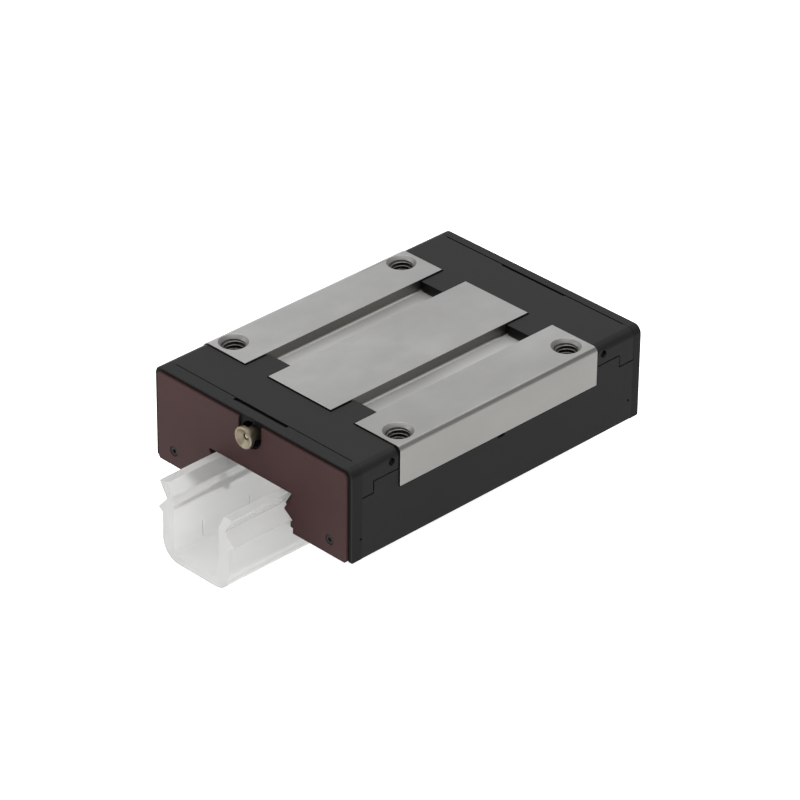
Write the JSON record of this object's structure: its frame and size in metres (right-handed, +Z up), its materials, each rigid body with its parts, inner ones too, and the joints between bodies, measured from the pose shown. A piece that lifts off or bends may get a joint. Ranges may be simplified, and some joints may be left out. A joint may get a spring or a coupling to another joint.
{
  "type": "linear guide carriage",
  "caption": "Flanged recirculating-ball rail-guide carriage in ground steel and black plastic, standing on a short translucent plastic assembly rail.",
  "frame": {"origin": "middle of the overall box at the underside of the assembly rail", "axes": "+X across the rail, +Y along the travel towards the plugged end (the grease nipple faces -Y), +Z up out of the mounting face"},
  "size_m": [0.07, 0.131, 0.0373],
  "materials": {
    "steel": "ground",
    "black": "fine moulded texture",
    "maroon": "satin",
    "seal": "matte",
    "dark_screw": "black oxide",
    "natural": "satin",
    "nipple": "pale yellow plating",
    "balls": "polished",
    "spring": "wire",
    "clear": "translucent"
  },
  "bodies": {
    "rail": {"assembly_rail": "clear"},
    "carriage": {"carriage_body": "steel", "side_housing_right": "black", "side_housing_left": "black", "end_cap_front": "black", "end_cap_rear": "black", "end_cover_front": "black", "end_cover_rear": "black", "scraper_plate_front": "maroon", "scraper_plate_rear": "maroon", "end_seal_front": "seal", "end_seal_rear": "seal", "cover_screws_front": "dark_screw", "cover_screws_rear": "dark_screw", "cap_screws_front": "dark_screw", "cap_screws_rear": "dark_screw", "return_guides_front": "natural", "return_guides_rear": "natural", "return_tubes_right": "natural", "return_tubes_left": "natural", "ball_retainer_upper_right": "natural", "ball_retainer_middle_right": "natural", "ball_retainer_lower_right": "natural", "ball_retainer_upper_left": "natural", "ball_retainer_middle_left": "natural", "ball_retainer_lower_left": "natural", "bottom_seal_right": "seal", "bottom_seal_left": "seal", "inner_seal_right": "seal", "inner_seal_left": "seal", "grease_nipple": "nipple", "nipple_spring": "spring", "port_plug_rear": "dark_screw", "side_port_screws": "dark_screw", "balls_upper_right": "balls", "balls_lower_right": "balls", "balls_upper_left": "balls", "balls_lower_left": "balls"},
    "check_ball": {"nipple_check_ball": "balls"}
  },
  "joints": [
    {"name": "carriage_slide", "type": "slide", "parent": "rail", "child": "carriage", "axis": [0, 1, 0], "range_m": [-0.119, 0.1135]},
    {"name": "check_ball_press", "type": "slide", "parent": "carriage", "child": "check_ball", "axis": [0, 1, 0], "range_m": [0, 0.0008], "stiffness_N_per_m": 300, "springref_m": -0.001, "deforming": ["nipple_spring"]}
  ]
}
